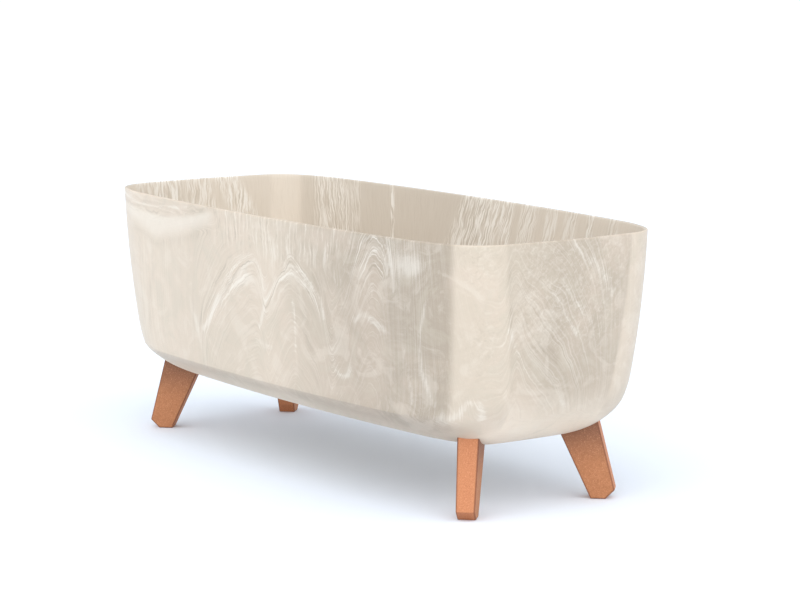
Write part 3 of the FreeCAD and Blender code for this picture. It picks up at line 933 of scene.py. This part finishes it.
def copper_board():
    """Coppery board: fine specks, cut edges burnt dark, painted shade darkening it towards the top
    under the trough (less on the narrow faces) and a painted highlight on the narrow faces.
    """
    paint = Paint("copper_board")
    place = paint.position()
    x, y, z = paint.parts(place)
    x, y = abs(x) - FOOT_CENTRE[0], abs(y) - FOOT_CENTRE[1]
    out = x * math.cos(LEG_PLANE) + y * math.sin(LEG_PLANE)
    across = y * math.cos(LEG_PLANE) - x * math.sin(LEG_PLANE)
    outline = z
    for (u0, z0), (u1, z1) in zip(LEG_EDGES[:-1], LEG_EDGES[1:]):
        long = math.hypot(u1 - u0, z1 - z0)
        gap = (out - u0) * ((z0 - z1) / long) + (z - z0) * ((u1 - u0) / long)
        outline = paint.minimum(outline, gap)
    thicker = (LEG_THICK_AT_80 - LEG_THICK_AT_FOOT) / 2 / (80 * MM)
    flat = LEG_THICK_AT_FOOT / 2 + z * thicker - abs(across)
    narrow = flat.ramp(0.6 * MM, 1.6 * MM)
    near = -paint.minimum(-outline, -flat)
    speck = paint.noise(place, 1100.0, 2.0, 0.6)
    mottle = paint.noise(place, 330.0, 3.0, 0.6)
    tone = paint.mix(mottle.ramp(0.30, 0.70), srgb(168, 108, 67), srgb(180, 118, 76))
    # painted shade under the trough, darker towards the top, less on the narrow faces
    tone = paint.mix(z.ramp(0.026, 0.070) * (0.72 - narrow * 0.52), tone, srgb(96, 60, 44))
    # painted highlight on the narrow faces
    tone = paint.mix(narrow * 0.75, tone, srgb(194, 123, 80))
    toe = (1 - z.ramp(7.4 * MM, 8.8 * MM)) * narrow
    tone = paint.mix(toe * 0.35, tone, srgb(140, 82, 52))
    tone = paint.mix(speck.ramp(0.52, 0.70) * 0.40, tone, srgb(222, 158, 118))
    tone = paint.mix((1 - speck.ramp(0.30, 0.46)) * 0.4, tone, srgb(158, 92, 56))
    tone = paint.mix((1 - near.ramp(0.7 * MM, 1.7 * MM)) * 0.65, tone, srgb(112, 60, 34))
    return paint.finish(Base_Color=tone, Roughness=0.62, Normal=paint.bump(speck, 0.15 * MM))


def worn(name, colour, metallic, roughness):
    """A plain material with slight wear in its colour and gloss."""
    paint = Paint(name)
    wear = paint.noise(paint.position(), 700.0, 3.0, 0.6)
    tone = paint.mix(wear, colour, tuple(0.8 * c for c in colour[:3]) + (1.0,))
    return paint.finish(Base_Color=tone, Metallic=metallic, Roughness=roughness + wear * 0.1,
                        Normal=paint.bump(wear, 0.03 * MM))


# ------------------------------------------------------------------- pieces
def make_trough():
    """The moulding, formed by the level table, with its flow values and both marbled faces."""
    screws = screw_places()
    places = point_object("screw_places", *zip(*screws))
    drains = point_object("drain_places", [(x, 0, UNDERSIDE - 5 * MM) for x in DRAIN_PLACES],
                          [(0, 0, 1)] * len(DRAIN_PLACES))
    rows = level_table()
    table = point_object("level_rows", [(0, 0, 0)] * len(rows),
                         numbers=dict(zip(LEVEL_VALUES, zip(*rows))))
    form = trough_forming(marbled_outside(), marbled_inside(), places, drains)
    mesh = form.run("trough_moulding", table.data)
    if mesh.materials[0] is None:
        mesh.materials.pop(index=0)
    add_flow(mesh)
    for helper in (places, drains, table):
        bpy.data.objects.remove(helper)
    trough = bpy.data.objects.new("trough_moulding", mesh)
    bpy.context.scene.collection.objects.link(trough)
    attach(trough, "root")
    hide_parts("trough")


def paint_node(node, material):
    """Gives one piece of the frame its material."""
    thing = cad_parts[node]
    thing.data.materials.clear()
    thing.data.materials.append(material)


def set_camera():
    """The view from the right front, a little above the rim."""
    lens = bpy.data.cameras.new("view_lens")
    lens.lens = VIEW_LENS
    lens.sensor_width = 36.0
    lens.clip_end = 200.0
    camera = bpy.data.objects.new("view", lens)
    bpy.context.scene.collection.objects.link(camera)
    camera.location = VIEW_PLACE
    camera.rotation_euler = (math.pi / 2 - VIEW_DOWN, 0, VIEW_TURN)
    bpy.context.scene.camera = camera


def soft_light(name, azimuth, elevation, distance, size, power, colour):
    """A round area light aimed at the trough's middle."""
    lamp = bpy.data.lights.new(name, "AREA")
    lamp.shape = "DISK"
    lamp.size = size
    lamp.energy = power
    lamp.color = colour
    thing = bpy.data.objects.new(name, lamp)
    bpy.context.scene.collection.objects.link(thing)
    a, e = math.radians(azimuth), math.radians(elevation)
    back = Vector((math.sin(a) * math.cos(e), -math.cos(a) * math.cos(e), math.sin(e)))
    thing.location = Vector((0, 0, 0.12)) + back * distance
    thing.rotation_euler = back.to_track_quat("Z", "Y").to_euler()


def studio():
    """A wide pale floor, an even sky, a broad light overhead and two soft lights."""
    size = 40.0
    mesh = bpy.data.meshes.new("studio_floor")
    mesh.from_pydata([(-size, -size, 0), (size, -size, 0), (size, size, 0), (-size, size, 0)],
                     [], [(0, 1, 2, 3)])
    floor = bpy.data.objects.new("studio_floor", mesh)
    bpy.context.scene.collection.objects.link(floor)
    paint = Paint("studio_floor")
    mesh.materials.append(paint.finish(Base_Color=FLOOR_COLOUR, Roughness=0.9))
    world = bpy.data.worlds.new("studio")
    bpy.context.scene.world = world
    world.use_nodes = True
    background = world.node_tree.nodes["Background"]
    background.inputs["Color"].default_value = WORLD_COLOUR
    background.inputs["Strength"].default_value = WORLD_STRENGTH
    sky = bpy.data.lights.new("overhead", "SUN")
    sky.energy = OVERHEAD_STRENGTH
    sky.angle = math.radians(100)
    sky.color = (1.0, 0.99, 0.975)
    thing = bpy.data.objects.new("overhead", sky)
    thing.rotation_euler = (math.radians(27), math.radians(34), 0)
    bpy.context.scene.collection.objects.link(thing)
    soft_light("light_left_front", -50, 25, 1.6, 0.9, 1.0, (1.0, 0.98, 0.95))
    soft_light("light_right_back", 130, 25, 1.4, 0.8, 2.0, (1.0, 0.99, 0.97))
    bpy.context.scene.view_settings.view_transform = "Standard"


set_camera()
studio()
make_trough()
board = copper_board()
for leg in ("leg_front_left", "leg_front_right", "leg_back_left", "leg_back_right"):
    paint_node(leg, board)
paint_node("leg_screws", worn("stainless_screw", srgb(190, 190, 192), 1.0, 0.3))
paint_node("leg_thread_inserts", worn("turned_brass", srgb(205, 170, 95), 1.0, 0.35))
paint_node("leg_screw_washers", worn("black_rubber", srgb(32, 32, 33), 0.0, 0.7))
